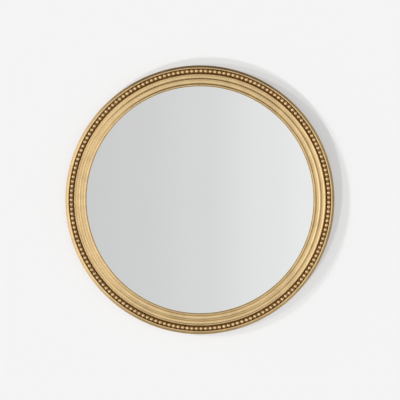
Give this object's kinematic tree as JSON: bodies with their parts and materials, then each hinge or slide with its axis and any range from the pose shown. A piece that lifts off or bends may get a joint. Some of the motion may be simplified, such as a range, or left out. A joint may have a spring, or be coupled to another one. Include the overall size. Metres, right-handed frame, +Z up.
{
  "type": "convex butlers mirror",
  "caption": "Round convex wall mirror in a gilded frame with stepped hollows and a beaded edge, with a board back, turn buttons and strap hangers.",
  "frame": {"origin": "the mirror's axis, in the plane of the wall that its bumpers rest on", "axes": "+X to the viewer's right, +Z up, -Y out of the wall towards the viewer, +Y into the wall"},
  "size_m": [0.5, 0.0431, 0.5],
  "materials": {
    "gilded_frame": "antique gold leaf with brown patina in the hollows",
    "gilded_beading": "antique gold leaf, worn bright on the bead tops",
    "silvered_glass": "polished",
    "foam_tape": "matt foam",
    "cork": "plain cork",
    "fibreboard": "smooth pressed fibreboard",
    "brass_plate": "brass plated steel",
    "zinc_plate": "bright zinc plate",
    "bumper_rubber": "matt"
  },
  "bodies": {
    "mirror": {"frame_ring": "gilded_frame", "bead_strip_1": "gilded_beading", "bead_strip_2": "gilded_beading", "bead_strip_3": "gilded_beading", "bead_strip_4": "gilded_beading", "bead_strip_5": "gilded_beading", "mirror_glass": "silvered_glass", "glazing_tape": "foam_tape", "packing_ring": "cork", "backing_board": "fibreboard", "turn_button_screw_1": "brass_plate", "turn_button_screw_2": "brass_plate", "turn_button_screw_3": "brass_plate", "turn_button_screw_4": "brass_plate", "turn_button_screw_5": "brass_plate", "turn_button_screw_6": "brass_plate", "hanger_strap_left": "zinc_plate", "hanger_strap_right": "zinc_plate", "hanger_screw_left_upper": "zinc_plate", "hanger_screw_left_lower": "zinc_plate", "hanger_screw_right_upper": "zinc_plate", "hanger_screw_right_lower": "zinc_plate", "wall_bumper_1": "bumper_rubber", "wall_bumper_2": "bumper_rubber", "wall_bumper_3": "bumper_rubber", "wall_bumper_4": "bumper_rubber"},
    "d_ring_left": {"d_ring_left": "zinc_plate"},
    "d_ring_right": {"d_ring_right": "zinc_plate"},
    "turn_button_1": {"turn_button_1": "brass_plate"},
    "turn_button_2": {"turn_button_2": "brass_plate"},
    "turn_button_3": {"turn_button_3": "brass_plate"},
    "turn_button_4": {"turn_button_4": "brass_plate"},
    "turn_button_5": {"turn_button_5": "brass_plate"},
    "turn_button_6": {"turn_button_6": "brass_plate"}
  },
  "joints": [
    {"name": "d_ring_left_swing", "type": "hinge", "parent": "mirror", "child": "d_ring_left", "pos_m": [-0.21164, -0.0036, 0.102], "axis": [-1, 0, 0], "range_deg": [-4, 175]},
    {"name": "d_ring_right_swing", "type": "hinge", "parent": "mirror", "child": "d_ring_right", "pos_m": [0.21164, -0.0036, 0.102], "axis": [-1, 0, 0], "range_deg": [-4, 175]},
    {"name": "turn_button_1_turn", "type": "hinge", "parent": "mirror", "child": "turn_button_1", "pos_m": [0.226, -0.0054, 0], "axis": [0, 1, 0], "continuous": true},
    {"name": "turn_button_2_turn", "type": "hinge", "parent": "mirror", "child": "turn_button_2", "pos_m": [0.113, -0.0054, 0.19572], "axis": [0, 1, 0], "continuous": true},
    {"name": "turn_button_3_turn", "type": "hinge", "parent": "mirror", "child": "turn_button_3", "pos_m": [-0.113, -0.0054, 0.19572], "axis": [0, 1, 0], "continuous": true},
    {"name": "turn_button_4_turn", "type": "hinge", "parent": "mirror", "child": "turn_button_4", "pos_m": [-0.226, -0.0054, 0], "axis": [0, 1, 0], "continuous": true},
    {"name": "turn_button_5_turn", "type": "hinge", "parent": "mirror", "child": "turn_button_5", "pos_m": [-0.113, -0.0054, -0.19572], "axis": [0, 1, 0], "continuous": true},
    {"name": "turn_button_6_turn", "type": "hinge", "parent": "mirror", "child": "turn_button_6", "pos_m": [0.113, -0.0054, -0.19572], "axis": [0, 1, 0], "continuous": true}
  ]
}
